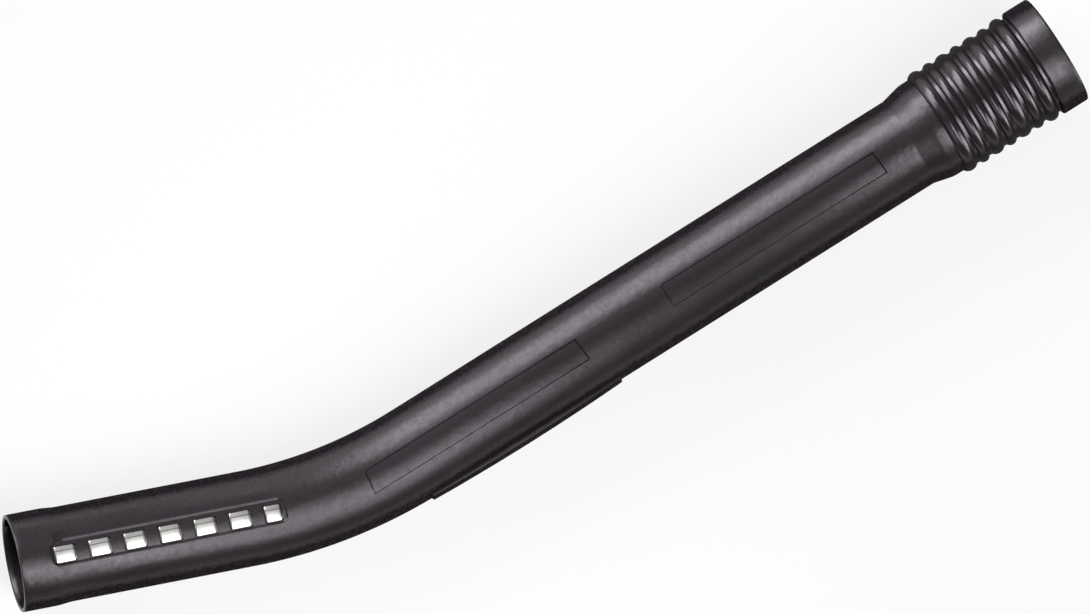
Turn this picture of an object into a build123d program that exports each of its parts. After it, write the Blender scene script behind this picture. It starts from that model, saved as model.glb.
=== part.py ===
from build123d import *
import math
import os

# Bent hand tube of a vacuum cleaner: spigot, bend, grip and ribbed hose cuff in one conductive moulding,
# with a steel contact strip behind windows in the spigot. Millimetres, +Z up, lying as it comes to rest.

# Run of the centreline, from the open tip to the crease where the cuff begins
spigot_length = 87.0
bend_radius = 180.0
bend_angle = 21.6
grip_length = 212.0

# Moulded section
tube_od = 35.0
wall = 1.5

# Swollen land at the open tip, which centres the next tube
tip_od = 36.0
tip_land = 12.6
tip_taper = 6.5
tip_edge = 0.4

# Cuff: flare, neck, ribs at broad and narrow pitches in turn with a groove after each, and the hose collar
flare_length = 7.7
neck_od = 38.7
neck_length = 4.4
rib_od = 42.0
broad_pitch = 6.45
narrow_pitch = 5.3
narrow_rib_count = 3
groove_od = 39.6
groove_width = 1.3
collar_od = 43.0
collar_length = 10.6
collar_edge = 0.9
socket_bore = 38.0
socket_lead = 0.5

# Clock angle of the panels and contacts, from square to the bend towards its inside
face_clock = 12.0

# Two shallow panels along the grip
panel_length = 91.6
panel_width = 9.1
panel_depth = 0.4
panel_corner = 1.0
panel_pitch = 128.2
panel_to_crease = 14.3

# Crowned pad on the outside of the bend, as an arc of the grip
pad_start = -4.0
pad_length = 80.9
pad_arc = 76.0
pad_end_height = 0.95
pad_mid_height = 1.85
pad_edge = 0.3

# Contacts of the steel strip, measured from the tip
contact_count = 7
contact_start = 12.9
contact_pitch = 13.1
contact_length = 7.7
last_contact_length = 6.1
contact_width = 5.9
contact_proud = 0.1
strip_thickness = 0.4
strip_fold = 0.55
strip_tab = 2.0
strip_clearance = 0.1

# Windows and the recess around them, given as gaps about the contacts;
# the recess is wider towards the inside of the bend
window_gap_tip = 0.2
window_gap_bend = 0.6
window_gap_side = 0.2
recess_gap_tip = 0.4
recess_gap_bend = 1.3
recess_gap_inside = 1.45
recess_gap_outside = 0.15
recess_depth = 0.55
recess_corner = 2.0
recess_draft = 40.0

tube_radius = tube_od / 2
bore_radius = tube_radius - wall
tip_radius = tip_od / 2
neck_radius = neck_od / 2
rib_radius = rib_od / 2
groove_radius = groove_od / 2
collar_radius = collar_od / 2
socket_radius = socket_bore / 2

# Places along the grip's own axis, which is X with the end of the bend at zero
flare_end = grip_length + flare_length
neck_end = flare_end + neck_length
rib_pitches = [broad_pitch, narrow_pitch] * narrow_rib_count + [broad_pitch]
ribs_end = neck_end + sum(rib_pitches)
collar_end = ribs_end + collar_length
socket_start = ribs_end + wall

# Frames of the two straight legs: X along the leg towards the cuff, Y to the inside of the bend
turn = math.radians(bend_angle)
bend_start = Vector(-bend_radius * math.sin(turn), bend_radius * (1 - math.cos(turn)), 0)
spigot_axis = Vector(math.cos(turn), -math.sin(turn), 0)
grip_axis = Vector(1, 0, 0)
tip_centre = bend_start - spigot_axis * spigot_length
spigot_frame = Plane(origin=tip_centre, x_dir=spigot_axis, z_dir=(0, 0, 1)).location
facing = Rot(-face_clock, 0, 0)


# Solid of revolution about X from a closed line of (place, radius) points
def turned(outline):
    return revolve(make_face(outline), axis=Axis.X)


def bar(radius, length):
    return turned(Polyline((0, 0), (0, radius), (length, radius), (length, 0), close=True))


# Round bar of one radius along the whole centreline
def rod(radius):
    bend_axis = Axis((0, bend_radius, 0), (0, 0, -1))
    bend = revolve(Plane.YZ * Circle(radius), axis=bend_axis, revolution_arc=bend_angle)
    return spigot_frame * bar(radius, spigot_length) + bend + bar(radius, grip_length)


# Land at the tip, swollen evenly from a radius, with its rim eased inwards or outwards
def tip_swelling(radius, ease):
    rim = radius + tip_radius - tube_radius
    taper_end = tip_land + tip_taper
    line = Polyline(
        (0, 0),
        (0, rim + ease),
        (abs(ease), rim),
        (tip_land, rim),
        (taper_end, radius),
        (taper_end, 0),
        close=True,
    )
    return spigot_frame * turned(line)


# Flare, neck and ribs as far as the socket, set in from the outer face by a depth;
# the last rib is as tall as the collar
def ribbed_core(inset):
    neck = neck_radius - inset
    groove = groove_radius - inset
    line = Polyline((grip_length, 0), (grip_length, tube_radius - inset), (flare_end, neck), (neck_end, neck))
    line += Line((neck_end, neck), (neck_end, groove))
    place = neck_end
    for number, pitch in enumerate(rib_pitches, 1):
        rib_end = place + pitch - groove_width
        crest = (rib_radius if number < len(rib_pitches) else collar_radius) - inset
        line += ThreePointArc((place, groove), ((place + rib_end) / 2, crest), (rib_end, groove))
        line += Line((rib_end, groove), (place + pitch, groove))
        place += pitch
    line += Polyline((place, groove), (socket_start, groove), (socket_start, 0), (grip_length, 0))
    return turned(line)


def collar():
    inner = (ribs_end, 0)
    foot = (ribs_end, neck_radius)
    lip = (collar_end, socket_radius)
    rim = FilletPolyline(
        foot, (ribs_end, collar_radius), (collar_end, collar_radius), lip, radius=collar_edge
    )
    return turned(rim + Polyline(lip, (collar_end, 0), inner, foot))


def hose_socket():
    line = Polyline(
        (socket_start, 0),
        (socket_start, socket_radius),
        (collar_end - socket_lead, socket_radius),
        (collar_end, socket_radius + socket_lead),
        (collar_end, 0),
        close=True,
    )
    return turned(line)


# Pad on the outside of the bend, crowned along its length, turned about the grip's axis
def underside_pad():
    end = pad_start + pad_length
    foot = tube_radius - wall / 2
    shoulder = tube_radius + pad_end_height
    crown = (pad_start + pad_length / 2, tube_radius + pad_mid_height)
    line = Polyline((end, shoulder), (end, foot), (pad_start, foot), (pad_start, shoulder))
    line += ThreePointArc((pad_start, shoulder), crown, (end, shoulder))
    pad = revolve(make_face(line), axis=Axis.X, revolution_arc=pad_arc)
    rim = [edge for edge in pad.edges() if stands_out(edge)]
    return Rot(180 - pad_arc / 2, 0, 0) * fillet(rim, pad_edge)


def stands_out(edge):
    radii = [math.hypot(point.Y, point.Z) for point in (edge @ 0, edge @ 0.5, edge @ 1)]
    return min(radii) > tube_radius + pad_end_height / 2


def side_panels():
    last = grip_length - panel_to_crease - panel_length / 2
    shape = RectangleRounded(panel_length, panel_width, panel_corner)
    blocks = [Pos(middle, 0, 0) * extrude(shape, tube_od) for middle in (last - panel_pitch, last)]
    return facing * (Part() + blocks) - rod(tube_radius - panel_depth)


# First and last place of one contact
def contact_ends(index):
    start = contact_start + index * contact_pitch
    is_last = index == contact_count - 1
    return start, start + (last_contact_length if is_last else contact_length)


# Recess around the windows, with a concentric floor and walls that open outwards
def strip_recess():
    start = contact_start - window_gap_tip - recess_gap_tip
    end = contact_ends(contact_count - 1)[1] + window_gap_bend + recess_gap_bend
    half_window = contact_width / 2 + window_gap_side
    width = 2 * half_window + recess_gap_inside + recess_gap_outside
    shift = (recess_gap_inside - recess_gap_outside) / 2
    floor = tube_radius - recess_depth
    foot = math.sqrt(floor**2 - (width / 2 + abs(shift)) ** 2)
    shape = RectangleRounded(end - start, width, recess_corner)
    block = extrude(shape, tip_radius - foot, taper=-recess_draft)
    return spigot_frame * facing * Pos((start + end) / 2, shift, foot) * block - rod(floor)


def contact_windows():
    blocks = []
    for index in range(contact_count):
        start, end = contact_ends(index)
        length = window_gap_tip + end - start + window_gap_bend
        width = contact_width + 2 * window_gap_side
        block = Box(length, width, tube_od, align=(Align.MIN, Align.CENTER, Align.MIN))
        blocks.append(Pos(start - window_gap_tip, 0, 0) * block)
    return spigot_frame * facing * (Part() + blocks)


# Sheet strip folded into crests, drawn along its middle line and turned through its width
def contact_strip():
    half = strip_thickness / 2
    seat = bore_radius - strip_clearance - half
    crest = tube_radius + contact_proud - half
    points = [(contact_start + half - strip_tab, seat)]
    for index in range(contact_count):
        start, end = contact_ends(index)
        points += [(start + half, seat), (start + half, crest), (end - half, crest), (end - half, seat)]
    points.append((points[-1][0] + strip_tab, seat))
    section = trace(FilletPolyline(*points, radius=strip_fold), line_width=strip_thickness)
    arc = math.degrees(contact_width / tube_radius)
    strip = revolve(section, axis=Axis.X, revolution_arc=arc)
    return spigot_frame * facing * Rot(90 - arc / 2, 0, 0) * strip


def tube_body():
    outside = rod(tube_radius) + tip_swelling(tube_radius, -tip_edge)
    outside += ribbed_core(0) + collar() + underside_pad()
    passage = rod(bore_radius) + tip_swelling(bore_radius, tip_edge)
    passage += ribbed_core(wall) + hose_socket()
    return outside - passage - side_panels() - strip_recess() - contact_windows()


# Lowest point of a set of (centre, axis, radius) circles, seen against an upward direction
def lowest_point(circles, up):
    points = []
    for centre, axis, radius in circles:
        across = (up - axis * up.dot(axis)).normalized()
        points.append(centre - across * radius)
    return min(points, key=up.dot)


# Upward direction when the tube lies on its tip land, its bend and its cuff
def rest_up():
    tip = [(tip_centre + spigot_axis * place, spigot_axis, tip_radius) for place in (tip_edge, tip_land)]
    last_crest = ribs_end - (broad_pitch + groove_width) / 2
    cuff_places = (last_crest, ribs_end + collar_edge, collar_end - collar_edge)
    cuff = [(grip_axis * place, grip_axis, collar_radius) for place in cuff_places]
    bend = []
    steps = 60
    for step in range(steps + 1):
        angle = turn * step / steps
        along = Vector(math.cos(angle), -math.sin(angle), 0)
        centre = Vector(-math.sin(angle), 1 - math.cos(angle), 0) * bend_radius
        bend.append((centre, along, tube_radius))
    up = Vector(0, 0, 1)
    for step in range(12):
        at_tip, at_bend, at_cuff = [lowest_point(circles, up) for circles in (tip, bend, cuff)]
        up = (at_bend - at_tip).cross(at_cuff - at_tip).normalized()
    return up


lying = Plane(origin=(0, 0, 0), x_dir=grip_axis, z_dir=rest_up()).location.inverse()
body = lying * tube_body()
strip = lying * contact_strip()
box = body.bounding_box()
to_floor = Pos(-box.center().X, -box.center().Y, -box.min.Z)

os.makedirs("parts", exist_ok=True)
export_step(to_floor * body, "parts/tube_body.step")
export_step(to_floor * strip, "parts/contact_strip.step")
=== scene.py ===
import math

import bpy
from mathutils import Matrix, Vector


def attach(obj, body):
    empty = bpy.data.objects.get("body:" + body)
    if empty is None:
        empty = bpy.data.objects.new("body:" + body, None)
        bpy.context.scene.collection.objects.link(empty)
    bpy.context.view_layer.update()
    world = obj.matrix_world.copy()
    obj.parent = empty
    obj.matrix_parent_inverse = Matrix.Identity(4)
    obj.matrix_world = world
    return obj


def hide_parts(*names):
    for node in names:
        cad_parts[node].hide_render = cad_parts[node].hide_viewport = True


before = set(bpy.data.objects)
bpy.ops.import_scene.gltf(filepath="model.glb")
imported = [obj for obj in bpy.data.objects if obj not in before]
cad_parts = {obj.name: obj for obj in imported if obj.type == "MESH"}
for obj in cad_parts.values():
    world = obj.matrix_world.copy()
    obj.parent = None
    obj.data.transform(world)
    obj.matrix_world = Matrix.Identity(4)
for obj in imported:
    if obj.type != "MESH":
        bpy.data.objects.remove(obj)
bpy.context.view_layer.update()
print("frame:", sorted(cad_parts))

mm = 0.001


class Wire:  # one socket of a node tree, so that node maths reads as an expression
    def __init__(self, tree, socket=None):
        self.tree = tree
        self.socket = socket

    def add(self, kind, settings=None, inputs=None, output=0):
        node = self.tree.nodes.new(kind)
        for name, value in (settings or {}).items():
            setattr(node, name, value)
        for key, value in (inputs or {}).items():
            if isinstance(value, Wire):
                self.tree.links.new(value.socket, node.inputs[key])
            else:
                node.inputs[key].default_value = value
        return Wire(self.tree, node.outputs[output] if node.outputs else None)

    def also(self, output):  # another output of the same node
        return Wire(self.tree, self.socket.node.outputs[output])

    def math(self, operation, first, *rest):
        values = dict(enumerate((first, *rest)))
        return self.add("ShaderNodeMath", {"operation": operation}, values)

    def __add__(self, other):
        return self.math("ADD", self, other)

    def __radd__(self, other):
        return self.math("ADD", other, self)

    def __sub__(self, other):
        return self.math("SUBTRACT", self, other)

    def __rsub__(self, other):
        return self.math("SUBTRACT", other, self)

    def __mul__(self, other):
        return self.math("MULTIPLY", self, other)

    def __rmul__(self, other):
        return self.math("MULTIPLY", other, self)

    def __truediv__(self, other):
        return self.math("DIVIDE", self, other)

    def __rtruediv__(self, other):
        return self.math("DIVIDE", other, self)

    def __pow__(self, other):
        return self.math("POWER", self, other)

    def __gt__(self, other):
        return self.math("GREATER_THAN", self, other)

    def __lt__(self, other):
        return self.math("LESS_THAN", self, other)

    def __abs__(self):
        return self.math("ABSOLUTE", self)

    def atLeast(self, other):
        return self.math("MAXIMUM", self, other)

    def atMost(self, other):
        return self.math("MINIMUM", self, other)

    def held(self, low, high):
        return self.atLeast(low).atMost(high)

    def ramp(self, start, end, kind="LINEAR"):  # 0 before start, 1 after end
        return self.add("ShaderNodeMapRange", {"interpolation_type": kind},
                        {"Value": self, "From Min": start, "From Max": end})

    def easeOver(self, width):  # drop of a rounded edge, full at 0 and none past its width
        left = width - self.held(0.0, width)
        return width - (width * width - left * left).atLeast(0.0) ** 0.5


# sizes in millimetres and radians
tube = {
    "spigotLength": 87.0, "bendRadius": 180.0, "bendTurn": math.radians(21.6),
    "tubeRadius": 17.5, "wall": 1.5, "faceClock": math.radians(12.0),
    "tipSwell": 0.5, "tipLand": 12.6, "tipTaper": 6.5, "tipEdge": 0.4,
}
rest = {"up": (0.01398, 0.051386, 0.998581), "bendEnd": (-61.51, -19.85, 17.836)}  # how the tube lies
cuff = {
    "flareLength": 7.7, "neckRise": 1.85, "neckEase": 0.5,
    "broadPitch": 6.45, "narrowPitch": 5.3, "ribHeight": 1.2,
    "grooveRise": 0.45, "grooveWidth": 1.3, "grooveEase": 0.22,
    "collarRise": 1.7, "collarEdge": 0.9, "socketRadius": 19.0, "socketLead": 0.5,
}
panels = {
    "panelWidth": 9.1, "panelDepth": 0.4,
    "panelDraft": 0.16, "panelStartDraft": 0.65, "panelEndDraft": 0.5, "panelDip": 0.3, "panelDipRun": 20.0,
    "panelSlant": 0.09, "slantFrom": 2.0, "slantTo": 9.0,
}
pad = {
    "padLength": 80.9, "padArc": math.radians(76.0),
    "padEndHeight": 0.95, "padMidHeight": 1.85, "padEdge": 0.3, "padDraft": 0.1,
}
contacts = {
    "count": 7, "start": 12.9, "pitch": 13.1, "length": 7.7, "lastLength": 6.1, "width": 5.9, "proud": 0.1,
    "thickness": 0.4, "fold": 0.55, "tab": 2.0, "clearance": 0.1, "edge": 0.12,
    "gapTip": 0.2, "gapBend": 0.6, "gapSide": 0.2, "foldSteps": 6, "edgeSteps": 3, "widthCuts": 5,
}
recess = {"recessDepth": 0.55, "recessCorner": 2.0, "recessWall": 0.46}
spans = {  # lengths, gaps and counts that only set where things begin and end
    "gripLength": 212.0, "neckLength": 4.4, "narrowRibs": 3, "collarLength": 10.6,
    "panelLength": 91.6, "panelPitch": 128.2, "panelToCrease": 14.3, "padStart": -4.0,
    "recessGapTip": 0.4, "recessGapBend": 1.3, "recessGapIn": 1.45, "recessGapOut": 0.15,
}

bendLength = tube["bendRadius"] * tube["bendTurn"]
gripStart = tube["spigotLength"] + bendLength
crease = gripStart + spans["gripLength"]
flareEnd = crease + cuff["flareLength"]
neckEnd = flareEnd + spans["neckLength"]
ribPair = cuff["broadPitch"] + cuff["narrowPitch"]
ribsEnd = neckEnd + spans["narrowRibs"] * ribPair + cuff["broadPitch"]
collarEnd = ribsEnd + spans["collarLength"]
socketStart = ribsEnd + tube["wall"]
panelEnd = crease - spans["panelToCrease"]
panelStart = panelEnd - spans["panelLength"]
panelSpans = [(panelStart - back, panelEnd - back) for back in (spans["panelPitch"], 0.0)]
padSpan = (gripStart + spans["padStart"], gripStart + spans["padStart"] + pad["padLength"])


def contactSpan(index):
    start = contacts["start"] + index * contacts["pitch"]
    isLast = index == contacts["count"] - 1
    return start, start + (contacts["lastLength"] if isLast else contacts["length"])


windowSpans = []
for index in range(contacts["count"]):
    start, end = contactSpan(index)
    windowSpans.append((start - contacts["gapTip"], end + contacts["gapBend"]))
windowHalf = contacts["width"] / 2 + contacts["gapSide"]
recessSpan = (windowSpans[0][0] - spans["recessGapTip"], windowSpans[-1][1] + spans["recessGapBend"])
recessHalf = windowHalf + 0.5 * (spans["recessGapIn"] + spans["recessGapOut"])
recessShift = 0.5 * (spans["recessGapIn"] - spans["recessGapOut"])  # towards the inside of the bend

# the row frame from the bend's own plane: X along the grip, Y to the inside of the bend
restUp = Vector(rest["up"]).normalized()
restAlong = (Vector((1, 0, 0)) - restUp * restUp.x).normalized()
restTurn = Matrix((restAlong, restUp.cross(restAlong), restUp)).to_euler()
restPlace = Vector(rest["bendEnd"]) * mm


# node trees for geometry: named sizes in, a mesh out
def newRule(name, sizes):
    tree = bpy.data.node_groups.new(name, "GeometryNodeTree")
    tree.is_modifier = True
    tree.interface.new_socket("Geometry", in_out="INPUT", socket_type="NodeSocketGeometry")
    tree.interface.new_socket("Geometry", in_out="OUTPUT", socket_type="NodeSocketGeometry")
    for size, value in sizes.items():
        socket = tree.interface.new_socket(size, in_out="INPUT", socket_type="NodeSocketFloat")
        socket.default_value = value
    source = tree.nodes.new("NodeGroupInput")
    return tree, {socket.name: Wire(tree, socket) for socket in source.outputs if socket.name}


def closeRule(shape, material):
    real = shape.add("GeometryNodeRealizeInstances", None, {"Geometry": shape})
    real = real.add("GeometryNodeSetMaterial", None, {"Geometry": real, "Material": material})
    target = shape.tree.nodes.new("NodeGroupOutput")
    shape.tree.links.new(real.socket, target.inputs[0])


def runRule(name, mesh, tree, sizes):
    piece = bpy.data.objects.new(name, mesh)
    bpy.context.scene.collection.objects.link(piece)
    modifier = piece.modifiers.new("rule", "NODES")
    modifier.node_group = tree
    for item in tree.interface.items_tree:
        if item.in_out == "INPUT" and item.name in sizes:
            modifier[item.identifier] = float(sizes[item.name])
    made = bpy.data.meshes.new_from_object(piece.evaluated_get(bpy.context.evaluated_depsgraph_get()))
    piece.modifiers.remove(modifier)
    made.name = name
    piece.data = made
    print(name, len(made.vertices), "points", len(made.polygons), "faces")
    return piece


# a point given along, around and out from the centreline, set in the row frame
def wrapRound(shape, along, around, radius, size, followsBend=True):
    past = along - size["spigotLength"]
    angle, straight = size["bendTurn"], past
    if followsBend:
        angle = (size["bendTurn"] - past / size["bendRadius"]).held(0.0, size["bendTurn"])
        straight = past.atMost(0.0) + (past - size["bendRadius"] * size["bendTurn"]).atLeast(0.0)
    cosine = along.math("COSINE", angle)
    sine = along.math("SINE", angle)
    sideways = radius * along.math("SINE", around)
    x = straight * cosine - size["bendRadius"] * sine + sideways * sine
    y = size["bendRadius"] * (1.0 - cosine) - straight * sine + sideways * cosine
    z = radius * along.math("COSINE", around)
    place = along.add("ShaderNodeCombineXYZ", None, {0: x * mm, 1: y * mm, 2: z * mm})
    shape = shape.add("GeometryNodeSetPosition", None, {"Geometry": shape, "Position": place})
    return shape.add("GeometryNodeTransform", None,
                     {"Geometry": shape, "Translation": restPlace, "Rotation": restTurn})


# the panels and the recess run straight on into the bend, so their lines slip round the tube there
slip = {
    "spigotFadeFrom": 14.0, "spigotFadeTo": 32.0, "gripFadeFrom": 24.0, "gripFadeTo": 36.0,
    "faceFrom": math.radians(25), "faceTo": math.radians(60),
}


def straightSlip(along, size):
    intoBend = (along - size["spigotLength"]).atLeast(0.0)
    beforeGrip = (gripStart - along).atLeast(0.0)
    spigotFade = 1.0 - intoBend.ramp(slip["spigotFadeFrom"], slip["spigotFadeTo"], "SMOOTHSTEP")
    gripFade = 1.0 - beforeGrip.ramp(slip["gripFadeFrom"], slip["gripFadeTo"], "SMOOTHSTEP")
    drop = intoBend * intoBend * spigotFade + beforeGrip * beforeGrip * gripFade
    return drop * (-math.cos(tube["faceClock"])) / (2.0 * size["bendRadius"] * size["tubeRadius"])


# tube body: a sheet of lines along and around, wrapped to the rule of its radius
bodyLines = {  # steps, offsets and runs in millimetres, and shares of a wall, a draft or a corner
    "spigotStep": 2.2, "bendStep": 3.2, "gripStep": 6.5, "aroundStep": math.radians(5.0),
    "neckStep": 0.04, "collarStep": 0.06, "socketStep": 0.05,
    "recessEnds": (-0.15, 0.05, 0.3, 0.6, 0.95, 1.15), "recessSides": (-0.3, 0.05, 0.3, 0.6, 0.95, 1.15),
    "recessCorner": (0.2, 0.36, 0.52), "cornerStep": 0.28, "cornerSteps": 7, "windowInset": 0.5,
    "panelEnds": (-1.3, -1.0, -0.7, 0.7, 1.0, 1.3), "panelSides": (-1.0, -0.35, 0.35, 1.0, 1.6),
    "padFoot": 0.15, "padSteps": 4, "tipSteps": 5,
    "crease": (-0.9, -0.45, -0.2, 0.2, 0.45, 0.9),
    "flareEnd": (-2.1, -1.6, -1.1, -0.7, -0.35, 0.35, 0.7, 1.1, 1.6, 2.1),
    "grooveStart": (0.1, 0.25, 0.65), "grooveEnd": (-0.25, -0.1),
    "sameLine": 1e-4, "stepSlack": 1e-6,
}


def filled(keys, step):
    lines = sorted(keys)
    kept = [lines[0]]
    for line in lines[1:]:
        gap = line - kept[-1]
        if gap < bodyLines["sameLine"]:
            continue
        count = max(1, math.ceil(gap / step(0.5 * (line + kept[-1])) - bodyLines["stepSlack"]))
        kept += [kept[-1] + gap * (part + 1) / count for part in range(count - 1)] + [line]
    return kept


def about(place, *offsets):
    return [place + offset for offset in offsets]


def roundLines(place, width, direction, count=6):  # lines of a rounded edge that starts at place
    shares = [1 - math.cos(math.pi / 2 * part / count) for part in range(count + 1)]
    return [place + direction * width * share for share in shares]


def arcLines(middle, chord, height, count=14):  # lines at even angles over an arc
    radius = (chord * chord / 4 + height * height) / (2 * height)
    reach = math.asin(chord / 2 / radius)
    return [middle + radius * math.sin(reach * (2 * part / count - 1)) for part in range(count + 1)]


def alongLines():
    keys = [0.0, crease, flareEnd, ribsEnd, socketStart, collarEnd, collarEnd - cuff["socketLead"]]
    keys += [neckEnd - bodyLines["neckStep"], ribsEnd - bodyLines["collarStep"]]
    keys += [socketStart - bodyLines["socketStep"], tube["tipLand"], tube["tipLand"] + tube["tipTaper"]]
    keys += roundLines(0.0, tube["tipEdge"], 1, bodyLines["tipSteps"])
    wallRun, cornerStep = recess["recessWall"], bodyLines["cornerStep"]
    for place, direction in ((recessSpan[0], -1), (recessSpan[1], 1)):
        keys += [place + direction * wallRun * part for part in bodyLines["recessEnds"]]
        keys += [place - direction * cornerStep * (part + 1) for part in range(bodyLines["cornerSteps"])]
    for start, end in windowSpans:
        keys += [start, end]
    for start, end in panelSpans:
        for place, draft in ((start, panels["panelStartDraft"]), (end, panels["panelEndDraft"])):
            keys += [place + 0.5 * draft * part for part in bodyLines["panelEnds"]]
    for place, direction in ((padSpan[0], 1), (padSpan[1], -1)):
        keys += [place, place - direction * bodyLines["padFoot"]]
        edgeStart = place + direction * pad["padDraft"]
        keys += roundLines(edgeStart, pad["padEdge"], direction, bodyLines["padSteps"])
    keys += about(crease, *bodyLines["crease"]) + about(flareEnd, *bodyLines["flareEnd"])
    ribStart = neckEnd
    for rib in range(2 * spans["narrowRibs"] + 1):
        pitch = cuff["narrowPitch"] if rib % 2 else cuff["broadPitch"]
        width = pitch - cuff["grooveWidth"]
        isLast = rib == 2 * spans["narrowRibs"]
        keys += arcLines(ribStart + width / 2, width, cuff["collarRise"] if isLast else cuff["ribHeight"])
        keys += about(ribStart + width, *bodyLines["grooveStart"])
        keys += about(ribStart + pitch, *bodyLines["grooveEnd"])
        ribStart += pitch
    keys += roundLines(ribsEnd, cuff["collarEdge"], 1) + roundLines(collarEnd, cuff["collarEdge"], -1)

    def step(place):
        if place < recessSpan[1]:
            return bodyLines["spigotStep"]
        return bodyLines["bendStep"] if place < gripStart else bodyLines["gripStep"]

    return filled(keys, step)


def aroundLines():
    half, edge = panels["panelDraft"] / 2, panels["panelWidth"] / 2
    wallRun, corner = recess["recessWall"], recess["recessCorner"]
    sides = []
    for sign in (-1, 1):
        sides += [sign * windowHalf, sign * (windowHalf - bodyLines["windowInset"])]
        sides += [recessShift + sign * (recessHalf + wallRun * part) for part in bodyLines["recessSides"]]
        sides += [recessShift + sign * (recessHalf - corner * part) for part in bodyLines["recessCorner"]]
        sides += [sign * (edge + half * part) for part in bodyLines["panelSides"]]
    keys = [tube["faceClock"] + math.asin(side / tube["tubeRadius"]) for side in sides]
    for sign in (-1, 1):
        place = -math.pi / 2 + sign * pad["padArc"] / 2
        drops = roundLines(0.0, pad["padEdge"], 1, bodyLines["padSteps"])
        offsets = [bodyLines["padFoot"], 0.0] + [-pad["padDraft"] - drop for drop in drops]
        keys += [place + sign * offset / tube["tubeRadius"] for offset in offsets]
    first = min(keys)
    lines = filled([*keys, first + 2 * math.pi], lambda place: bodyLines["aroundStep"])
    return lines[:-1]


def bodySheet():
    along = alongLines()
    around = aroundLines()
    rows, columns = len(along), len(around)

    def inWindow(row, column):
        middle = 0.5 * (along[row] + along[row + 1])
        following = around[column + 1] if column + 1 < columns else around[0] + 2 * math.pi
        side = 0.5 * (around[column] + following) - tube["faceClock"]
        across = abs(tube["tubeRadius"] * math.sin(side))
        isFront = math.cos(side) > 0
        return isFront and across < windowHalf and any(start < middle < end for start, end in windowSpans)

    def point(skin, row, column):
        return (skin * rows + row) * columns + column % columns

    holes = {(row, column) for row in range(rows - 1) for column in range(columns) if inWindow(row, column)}
    faces = []
    for row in range(rows - 1):
        for column in range(columns):
            corners = [(row, column), (row + 1, column), (row + 1, column + 1), (row, column + 1)]
            if (row, column) not in holes:
                faces.append([point(0, *corner) for corner in corners])
                faces.append([point(1, *corner) for corner in reversed(corners)])
                continue
            neighbours = [(row, column - 1), (row + 1, column), (row, column + 1), (row - 1, column)]
            for side, neighbour in enumerate(neighbours):
                if neighbour not in holes:  # wall of a window, from the outer skin to the inner
                    a, b = corners[side], corners[(side + 1) % 4]
                    faces.append([point(0, *a), point(0, *b), point(1, *b), point(1, *a)])
    for column in range(columns):  # rims of the tip and of the collar
        for row, a, b in ((0, column, column + 1), (rows - 1, column + 1, column)):
            faces.append([point(0, row, a), point(0, row, b), point(1, row, b), point(1, row, a)])
    grid = [(skin, place, angle) for skin in (0, 1) for place in along for angle in around]
    flat = [(place * mm, angle * tube["tubeRadius"] * mm, -skin * mm) for skin, place, angle in grid]
    mesh = bpy.data.meshes.new("bodySheet")
    mesh.from_pydata(flat, [], faces)
    for name, values in zip(("skin", "along", "around"), zip(*grid)):
        attribute = mesh.attributes.new(name, "FLOAT", "POINT")
        attribute.data.foreach_set("value", [float(value) for value in values])
    return mesh


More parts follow.
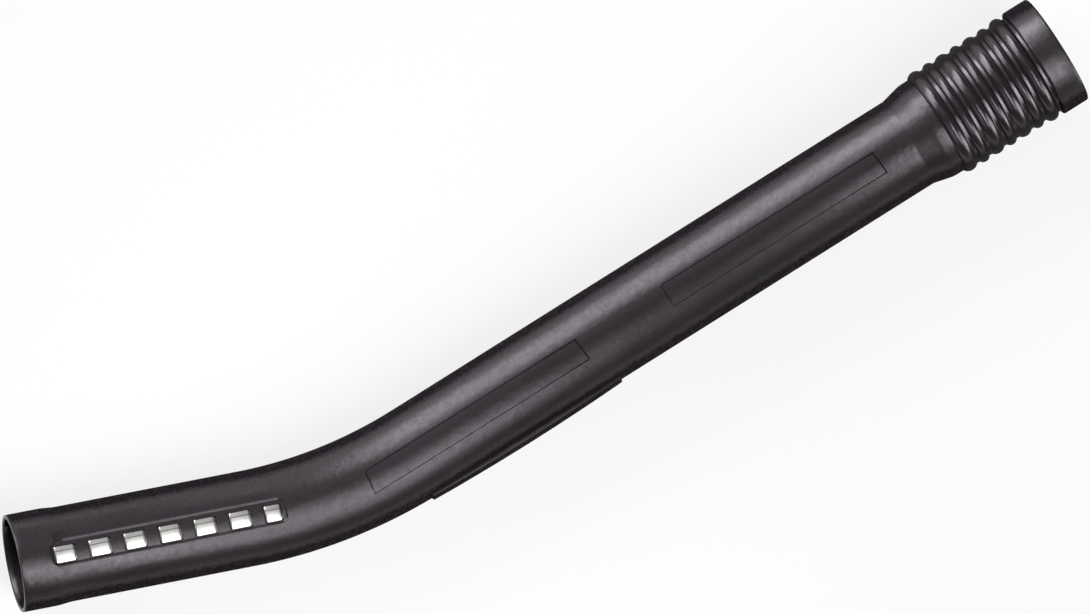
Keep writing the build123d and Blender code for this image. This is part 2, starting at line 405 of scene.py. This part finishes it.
def bodyRule(material):
    sizes = {**tube, **cuff, **panels, **pad, **recess}
    tree, size = newRule("tubeBodyRule", sizes)
    shape = size["Geometry"]
    along, around, skin = [
        shape.add("GeometryNodeInputNamedAttribute", {"data_type": "FLOAT"}, {"Name": name})
        for name in ("along", "around", "skin")
    ]
    tubeRadius = size["tubeRadius"]

    # run of the wall along the tube: swollen tip, flare, neck and ribs
    taperEnd = size["tipLand"] + size["tipTaper"]
    swell = size["tipSwell"] * (1.0 - along.ramp(size["tipLand"], taperEnd, "SMOOTHSTEP"))
    flare = size["neckRise"] / size["flareLength"] * (along - crease).atLeast(0.0)
    flare = along.math("SMOOTH_MIN", flare, size["neckRise"], size["neckEase"])
    flare = flare * (along > crease)
    pair = size["broadPitch"] + size["narrowPitch"]
    intoPair = along.math("FLOORED_MODULO", along - neckEnd, pair)
    isNarrow = intoPair > size["broadPitch"]
    chord = size["broadPitch"] + isNarrow * (size["narrowPitch"] - size["broadPitch"]) - size["grooveWidth"]
    offMiddle = intoPair - isNarrow * size["broadPitch"] - chord * 0.5
    isLastRib = along > (ribsEnd - size["broadPitch"])
    height = size["ribHeight"] + isLastRib * (size["collarRise"] - size["ribHeight"])
    arc = (chord * chord * 0.25 + height * height) / (height * 2.0)
    crown = (arc * arc - offMiddle * offMiddle).atLeast(0.0) ** 0.5 - (arc - height)
    crown = along.math("SMOOTH_MAX", crown, 0.0, size["grooveEase"])
    ribs = crown * (along > neckEnd) * (along < ribsEnd)
    ribs = ribs + size["grooveRise"] * along.ramp(neckEnd - bodyLines["neckStep"], neckEnd)
    wallLine = tubeRadius + swell + flare + ribs

    # collar with rounded edges, and the rim of the tip
    collar = size["collarRise"] - (along - ribsEnd).easeOver(size["collarEdge"])
    collar = collar - (collarEnd - along).easeOver(size["collarEdge"])
    collar = collar * along.ramp(ribsEnd - bodyLines["collarStep"], ribsEnd)
    outside = wallLine + collar - along.easeOver(size["tipEdge"])

    # panels along the grip, deepest at their ends towards the cuff
    side = around - size["faceClock"]
    across = tubeRadius * along.math("SINE", side)
    isFront = along.math("COSINE", side) > 0.0
    edge, half = size["panelWidth"] * 0.5, size["panelDraft"] * 0.5
    panelSide = 1.0 - abs(across).ramp(edge - half, edge + half)
    startHalf, endHalf = size["panelStartDraft"] * 0.5, size["panelEndDraft"] * 0.5
    runs, dips, slants = [], [], []
    for start, end in panelSpans:
        begun = along.ramp(start - startHalf, start + startHalf)
        ended = along.ramp(end - endHalf, end + endHalf)
        runs.append(begun.atMost(1.0 - ended))
        dips.append(along.ramp(end - size["panelDipRun"], end) * (along < end + size["panelEndDraft"]))
        slants.append(1.0 - abs(along - end).ramp(size["slantFrom"], size["slantTo"], "SMOOTHSTEP"))
    panelDepth = size["panelDepth"] + size["panelDip"] * sum(dips)
    outside = outside - panelDepth * sum(runs).atMost(panelSide) * isFront

    # recess with rounded ends round the contact windows
    corner = size["recessCorner"]
    floorRadius = tubeRadius - size["recessDepth"]
    recessMiddle = 0.5 * (recessSpan[0] + recessSpan[1])
    recessReach = 0.5 * (recessSpan[1] - recessSpan[0])
    endGap = abs(along - recessMiddle) - recessReach + corner
    sideGap = abs(across * (floorRadius / tubeRadius) - recessShift) - recessHalf + corner
    endOut, sideOut = endGap.atLeast(0.0), sideGap.atLeast(0.0)
    outOf = (endOut * endOut + sideOut * sideOut) ** 0.5 + endGap.atLeast(sideGap).atMost(0.0) - corner
    sunk = (1.0 - outOf.ramp(0.0, size["recessWall"])) * isFront
    outside = outside + (floorRadius - outside) * sunk

    # crowned pad on the outside of the bend
    padMiddle = 0.5 * (padSpan[0] + padSpan[1])
    offPad = (along - padMiddle) / (size["padLength"] * 0.5)
    padHeight = size["padEndHeight"] + (size["padMidHeight"] - size["padEndHeight"]) * (1.0 - offPad * offPad)
    padSide = (size["padArc"] * 0.5 - abs(around + math.pi / 2)) * tubeRadius
    padInside = (along - padSpan[0]).atMost(padSpan[1] - along).atMost(padSide)
    padTop = padHeight - (padInside - size["padDraft"]).easeOver(size["padEdge"])
    outside = outside + padTop * padInside.ramp(0.0, size["padDraft"])

    # passage: the same wall set in, then the hose socket
    socket = size["socketRadius"] + (along - (collarEnd - size["socketLead"])).atLeast(0.0)
    isSocket = along.ramp(socketStart - bodyLines["socketStep"], socketStart)
    bore = wallLine - size["wall"] + (size["tipEdge"] - along).atLeast(0.0)
    inside = bore + (socket - bore) * isSocket
    radius = outside + (inside - outside) * skin

    # the panels' ends stand a little askew, and the lines slip where the tube bends
    nearFace = 1.0 - abs(side).ramp(slip["faceFrom"], slip["faceTo"], "SMOOTHSTEP")
    placeAlong = along - across * size["panelSlant"] * sum(slants) * nearFace
    placeAround = around + straightSlip(along, size) * nearFace
    shape = wrapRound(shape, placeAlong, placeAround, radius, size)
    closeRule(shape, material)
    return tree, sizes


# contact strip: one folded line swept as thin sheet, then curved to the tube
def foldLine():
    half = contacts["thickness"] / 2
    seat = tube["tubeRadius"] - tube["wall"] - contacts["clearance"] - half
    crest = tube["tubeRadius"] + contacts["proud"] - half
    points = [(contacts["start"] + half - contacts["tab"], seat)]
    for index in range(contacts["count"]):
        start, end = contactSpan(index)
        points += [(start + half, seat), (start + half, crest), (end - half, crest), (end - half, seat)]
    points.append((points[-1][0] + contacts["tab"], seat))
    mesh = bpy.data.meshes.new("foldLine")
    mesh.from_pydata([(x, 0.0, z) for x, z in points], [(i, i + 1) for i in range(len(points) - 1)], [])
    return mesh


def stripRule(material):
    shared = ("spigotLength", "bendRadius", "bendTurn", "tubeRadius", "faceClock")
    sizes = {
        **{name: tube[name] for name in shared},
        "sheetWidth": contacts["width"], "sheetThickness": contacts["thickness"],
        "foldRadius": contacts["fold"], "edgeRadius": contacts["edge"],
    }
    tree, size = newRule("contactStripRule", sizes)
    shape = size["Geometry"]
    path = shape.add("GeometryNodeMeshToCurve", None, {"Mesh": shape})
    path = path.add("GeometryNodeFilletCurve", {"mode": "POLY"},
                    {"Curve": path, "Radius": size["foldRadius"], "Count": contacts["foldSteps"],
                     "Limit Radius": True})
    section = shape.add("GeometryNodeCurvePrimitiveQuadrilateral", {"mode": "RECTANGLE"},
                        {"Width": size["sheetWidth"], "Height": size["sheetThickness"]})
    section = section.add("GeometryNodeFilletCurve", {"mode": "POLY"},
                          {"Curve": section, "Radius": size["edgeRadius"], "Count": contacts["edgeSteps"]})
    section = section.add("GeometryNodeSubdivideCurve", None,
                          {"Curve": section, "Cuts": contacts["widthCuts"]})
    sheet = path.add("GeometryNodeCurveToMesh", None,
                     {"Curve": path, "Profile Curve": section, "Fill Caps": True})
    sheet = sheet.add("GeometryNodeSetShadeSmooth", None, {"Geometry": sheet})
    place = sheet.add("GeometryNodeInputPosition")
    along = place.add("ShaderNodeSeparateXYZ", None, {0: place})
    across, radius = along.also(1), along.also(2)
    for name, value in (("along", along), ("across", across)):
        sheet = sheet.add("GeometryNodeStoreNamedAttribute", {"data_type": "FLOAT", "domain": "POINT"},
                          {"Geometry": sheet, "Name": name, "Value": value})
    around = across / size["tubeRadius"] + size["faceClock"]
    sheet = wrapRound(sheet, along, around, radius, size, followsBend=False)
    closeRule(sheet, material)
    return tree, sizes


# finishes
def newFinish(name):
    material = bpy.data.materials.new(name)
    material.use_nodes = True
    tree = material.node_tree
    tree.nodes.clear()
    shader = tree.nodes.new("ShaderNodeBsdfPrincipled")
    output = tree.nodes.new("ShaderNodeOutputMaterial")
    tree.links.new(shader.outputs[0], output.inputs["Surface"])
    return material, Wire(tree), shader


def feed(shader, **inputs):
    for name, value in inputs.items():
        socket = shader.inputs[name]
        if isinstance(value, Wire):
            value.tree.links.new(value.socket, socket)
        else:
            socket.default_value = value


def joinShaders(material, share, first, second):
    tree = material.node_tree
    mix = tree.nodes.new("ShaderNodeMixShader")
    tree.links.new(share.socket, mix.inputs[0])
    tree.links.new(first.outputs[0], mix.inputs[1])
    tree.links.new(second.outputs[0], mix.inputs[2])
    output = next(node for node in tree.nodes if node.type == "OUTPUT_MATERIAL")
    tree.links.new(mix.outputs[0], output.inputs["Surface"])


def noise(place, scale, detail=2.0, roughness=0.5):
    return place.add("ShaderNodeTexNoise", None,
                     {"Vector": place, "Scale": scale, "Detail": detail, "Roughness": roughness})


def blendColour(share, first, second):
    return share.add("ShaderNodeMix", {"data_type": "RGBA"}, {0: share, 6: first, 7: second}, 2)


plasticLook = {
    "dark": (0.0084, 0.0064, 0.0083, 1.0), "light": (0.0128, 0.0100, 0.0126, 1.0),
    "sheen": (1.0, 0.93, 1.0, 1.0), "specular": 0.66,
    "roughness": 0.32, "roughnessSpread": 0.06, "smoothest": 0.2, "roughest": 0.8, "mattRoughness": 0.9,
    "ribPolish": 0.08, "ribCalm": 0.7, "ribBlend": 0.5,
    "edgeFade": 0.87, "edgeFrom": 0.28, "edgeTo": 0.54, "rimFrom": 0.1, "rimTo": 0.7,
    "grainSize": 0.5, "grainDetail": 1.0, "grainDepth": 0.016, "grainFade": 0.8, "grainLevel": 0.33,
    "grainTone": 0.2,
    "mottleSize": 1.9, "mottleDetail": 0.0, "mottleDepth": 0.05, "mottleFade": 0.25, "mottleTone": 0.3,
    "flowSize": 26.0, "flowTone": 0.9,
}


def conductivePlastic(look):
    material, start, shader = newFinish("conductivePlastic")
    place = start.add("ShaderNodeTexCoord", output="Object")
    grain = noise(place, 1.0 / (look["grainSize"] * mm), look["grainDetail"])
    mottle = noise(place, 1.0 / (look["mottleSize"] * mm), look["mottleDetail"])
    flow = noise(place, 1.0 / (look["flowSize"] * mm))
    tone = (mottle - 0.5) * look["mottleTone"] + (flow - 0.5) * look["flowTone"]
    tone = tone + (grain - 0.5) * look["grainTone"] + 0.5
    colour = blendColour(tone.held(0.0, 1.0), look["dark"], look["light"])
    along = start.add("ShaderNodeAttribute", {"attribute_name": "along"}, None, "Fac")
    skin = start.add("ShaderNodeAttribute", {"attribute_name": "skin"}, None, "Fac")
    blend = look["ribBlend"]
    onRibs = along.ramp(neckEnd - blend, neckEnd + blend) * (1.0 - along.ramp(ribsEnd - blend, ribsEnd))
    calm = 1.0 - look["ribCalm"] * onRibs  # the ribs come smoother out of the mould
    rough = look["roughness"] - onRibs * look["ribPolish"] + (mottle + flow - 1.0) * look["roughnessSpread"]
    height = (grain * (look["grainDepth"] * mm) + mottle * (look["mottleDepth"] * mm)) * calm
    bump = start.add("ShaderNodeBump", None, {"Strength": 1.0, "Distance": 1.0, "Height": height})
    rough = rough.held(look["smoothest"], look["roughest"])
    feed(shader, **{"Base Color": colour, "Roughness": rough, "Normal": bump,
                    "Specular IOR Level": look["specular"], "Specular Tint": look["sheen"]})
    # the moulded grain breaks up the gloss, and takes it off where the surface turns away
    matt = material.node_tree.nodes.new("ShaderNodeBsdfPrincipled")
    feed(matt, **{"Base Color": colour, "Roughness": look["mattRoughness"], "Specular IOR Level": 0.0})
    edge = start.add("ShaderNodeLayerWeight", None, {"Blend": 0.5}, "Facing")
    edge = edge.ramp(look["edgeFrom"], look["edgeTo"], "SMOOTHSTEP")
    fade = look["edgeFade"] + (1.0 - look["edgeFade"]) * skin
    fade = fade * along.ramp(look["rimFrom"], look["rimTo"])  # the rim keeps its gloss
    broken = (grain - look["grainLevel"]) * look["grainFade"] + (mottle - 0.5) * look["mottleFade"]
    share = edge * fade + broken * calm
    joinShaders(material, share.held(0.0, 1.0), shader, matt)
    return material


steelLook = {
    "dark": (0.56, 0.55, 0.535, 1.0), "light": (0.76, 0.75, 0.73, 1.0),
    "roughness": 0.32, "roughnessSpread": 0.06, "smoothest": 0.1, "roughest": 0.6,
    "lineSize": 0.16, "lineShare": 0.04, "lineDetail": 3.0, "lineBreak": 0.6,
    "lineDepth": 0.0004, "lineTone": 1.4, "smudgeSize": 3.0, "smudgeTone": 0.5,
    # painted reflection: a thin dark line across each contact patch stands in for a dark reflection on its
    # crest
    "paintedLine": 1.3, "paintedLineFrom": 0.04, "paintedLineTo": 0.24, "paintedLineColour": (0.16, 0.155, 0.15, 1.0),
}


def contactSteel(look):
    material, start, shader = newFinish("contactSteel")
    along = start.add("ShaderNodeAttribute", {"attribute_name": "along"}, None, "Fac")
    across = start.add("ShaderNodeAttribute", {"attribute_name": "across"}, None, "Fac")
    lineScale = 1.0 / look["lineSize"]
    drawn = start.add("ShaderNodeCombineXYZ", None,
                      {0: along * lineScale, 1: across * (lineScale * look["lineShare"])})
    lines = noise(drawn, 1.0, look["lineDetail"], look["lineBreak"])
    smudge = noise(start.add("ShaderNodeTexCoord", output="Object"), 1.0 / (look["smudgeSize"] * mm))
    # painted reflection: darkens the steel colour along a thin line across each patch, in place of a dark
    # reflection on the crest
    paintedDarkLine = 1.0 - abs(across - look["paintedLine"]).ramp(look["paintedLineFrom"], look["paintedLineTo"])
    tone = (lines - 0.5) * look["lineTone"] + (smudge - 0.5) * look["smudgeTone"] + 0.5
    rough = look["roughness"] + (lines - 0.5) * look["roughnessSpread"]
    rough = rough + (smudge - 0.5) * look["roughnessSpread"]
    bump = start.add("ShaderNodeBump", None,
                     {"Strength": 1.0, "Distance": 1.0, "Height": lines * (look["lineDepth"] * mm)})
    colour = blendColour(tone.held(0.0, 1.0), look["dark"], look["light"])
    feed(shader, **{"Base Color": blendColour(paintedDarkLine, colour, look["paintedLineColour"]), "Metallic": 1.0,
                    "Roughness": rough.held(look["smoothest"], look["roughest"]), "Normal": bump})
    return material


plastic = conductivePlastic(plasticLook)
steel = contactSteel(steelLook)
print("finishes: conductivePlastic, contactSteel")

sharpFrom = math.radians(50)  # edges turned by less are shaded smooth
bodyTree, bodySizes = bodyRule(plastic)
body = runRule("tubeBody", bodySheet(), bodyTree, bodySizes)
body.data.shade_smooth()
body.data.set_sharp_from_angle(angle=sharpFrom)
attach(body, "root")
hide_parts("tube_body")

stripTree, stripSizes = stripRule(steel)
strip = runRule("contactStrip", foldLine(), stripTree, stripSizes)
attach(strip, "root")
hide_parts("contact_strip")

# floor, light and camera
stageLook = {
    "floorSize": 16.0, "floorColour": (0.82, 0.82, 0.82, 1.0), "floorGlow": 0.76, "floorRoughness": 0.9,
    "floorSpecular": 0.1, "speckScale": 9.0, "speckDetail": 3.0, "speckShade": 0.985,
    "roomLevel": 0.12, "groundLevel": 0.95, "horizon": 0.01,
}
softboxes = {  # place, aim and size in metres, radiance, and the spread of a grid in degrees
    "sideBox": {"place": (0.07, 2.5, 0.98), "aim": (0.07, 0.0, 0.02), "size": (0.74, 1.95), "radiance": 7.0},
    "sideBoxLeft": {"place": (-1.2, 2.4, 0.98), "aim": (0.0, 0.0, 0.02), "size": (1.9, 1.7), "radiance": 6.0},
    "topBoxTip": {
        "place": (-0.20, -0.18, 0.42), "aim": (-0.20, 0.01, 0.02), "size": (0.10, 0.48),
        "radiance": 9.0, "spread": 100.0,
    },
    "topBoxBend": {
        "place": (-0.05, -0.21, 0.42), "aim": (-0.05, -0.01, 0.02), "size": (0.10, 0.50),
        "radiance": 8.0, "spread": 70.0,
    },
    "topBoxCuff": {
        "place": (0.225, -0.20, 0.43), "aim": (0.225, -0.02, 0.02), "size": (0.06, 0.40),
        "radiance": 17.0, "spread": 70.0,
    },
    "contactBox": {
        "place": (-0.07, 0.008, 0.47), "aim": (-0.155, 0.004, 0.03), "size": (0.17, 0.135),
        "radiance": 1.6, "spread": 30.0,
    },
    "backBoxCuff": {
        "place": (0.28, 0.52, 0.16), "aim": (0.18, 0.0, 0.03), "size": (0.16, 0.24),
        "radiance": 8.5, "spread": 70.0,
    },
    "backFill": {"place": (0.05, 1.0, 1.7), "aim": (0.0, 0.0, 0.02), "size": (2.2, 1.0), "radiance": 0.38},
    "frontBox": {"place": (1.1, -1.1, 0.62), "aim": (0.18, -0.02, 0.02), "size": (0.8, 1.1), "radiance": 6.0},
}
view = {
    "azimuth": 115.178, "elevation": 77.863, "roll": 123.034, "distance": 10.0,
    "aim": (0.00553, 0.00041, 0.02), "lens": 907.17, "sensor": 36.0, "clipEnd": 40.0,
}


def paleFloor(look):
    material, start, shader = newFinish("paleFloor")
    place = start.add("ShaderNodeTexCoord", output="Object")
    speck = noise(place, look["speckScale"], look["speckDetail"])
    colour = look["floorColour"]
    shade = tuple(look["speckShade"] * part for part in colour[:3]) + (1.0,)
    feed(shader, **{"Base Color": blendColour(speck, shade, colour), "Roughness": look["floorRoughness"],
                    "Specular IOR Level": look["floorSpecular"]})
    seen = start.add("ShaderNodeLightPath", output="Is Camera Ray")
    seen = seen.atLeast(seen.also("Is Glossy Ray")).atLeast(seen.also("Is Transmission Ray"))
    glow = material.node_tree.nodes.new("ShaderNodeEmission")
    feed(glow, Color=(1.0, 1.0, 1.0, 1.0), Strength=1.0)
    joinShaders(material, seen * look["floorGlow"], shader, glow)
    return material


reach = stageLook["floorSize"] / 2
floorMesh = bpy.data.meshes.new("floor")
floorCorners = [(-reach, -reach, 0), (reach, -reach, 0), (reach, reach, 0), (-reach, reach, 0)]
floorMesh.from_pydata(floorCorners, [], [(0, 1, 2, 3)])
floorMesh.materials.append(paleFloor(stageLook))
floor = bpy.data.objects.new("floor", floorMesh)
bpy.context.scene.collection.objects.link(floor)

world = bpy.data.worlds.new("studio")
world.use_nodes = True
bpy.context.scene.world = world
sky = Wire(world.node_tree)
height = sky.add("ShaderNodeSeparateXYZ", None, {0: sky.add("ShaderNodeTexCoord", output="Generated")}, "Z")
ground, room = [(stageLook[name],) * 3 + (1.0,) for name in ("groundLevel", "roomLevel")]
level = blendColour(height.ramp(-stageLook["horizon"], stageLook["horizon"]), ground, room)
world.node_tree.links.new(level.socket, world.node_tree.nodes["Background"].inputs["Color"])

for name, box in softboxes.items():
    data = bpy.data.lights.new(name, "AREA")
    data.shape = "RECTANGLE"
    data.size, data.size_y = box["size"]
    data.energy = box["radiance"] * math.pi * data.size * data.size_y
    if "spread" in box:  # grid on the box, with its middle as bright as without
        data.spread = math.radians(box["spread"])
        data.energy *= 1.0 - 0.5 * data.spread / math.tan(0.5 * data.spread)
    lamp = bpy.data.objects.new(name, data)
    bpy.context.scene.collection.objects.link(lamp)
    lamp.location = box["place"]
    lamp.rotation_euler = (Vector(box["aim"]) - lamp.location).to_track_quat("-Z", "Y").to_euler()
    lamp.visible_camera = False

azimuth, elevation, roll = [math.radians(view[name]) for name in ("azimuth", "elevation", "roll")]
outward = math.cos(elevation)
back = Vector((outward * math.cos(azimuth), outward * math.sin(azimuth), math.sin(elevation)))
sideways = Vector((0, 0, 1)).cross(back).normalized()
upright = back.cross(sideways)
right = sideways * math.cos(roll) + upright * math.sin(roll)
lens = bpy.data.cameras.new("view")
lens.lens = view["lens"]
lens.sensor_width = view["sensor"]
lens.clip_end = view["clipEnd"]
camera = bpy.data.objects.new("view", lens)
bpy.context.scene.collection.objects.link(camera)
turn = Matrix((right, back.cross(right), back)).transposed().to_quaternion()
camera.matrix_world = Matrix.LocRotScale(Vector(view["aim"]) + back * view["distance"], turn, None)
bpy.context.scene.camera = camera
bpy.context.scene.view_settings.view_transform = "Standard"
print("stage: floor, softboxes and camera")
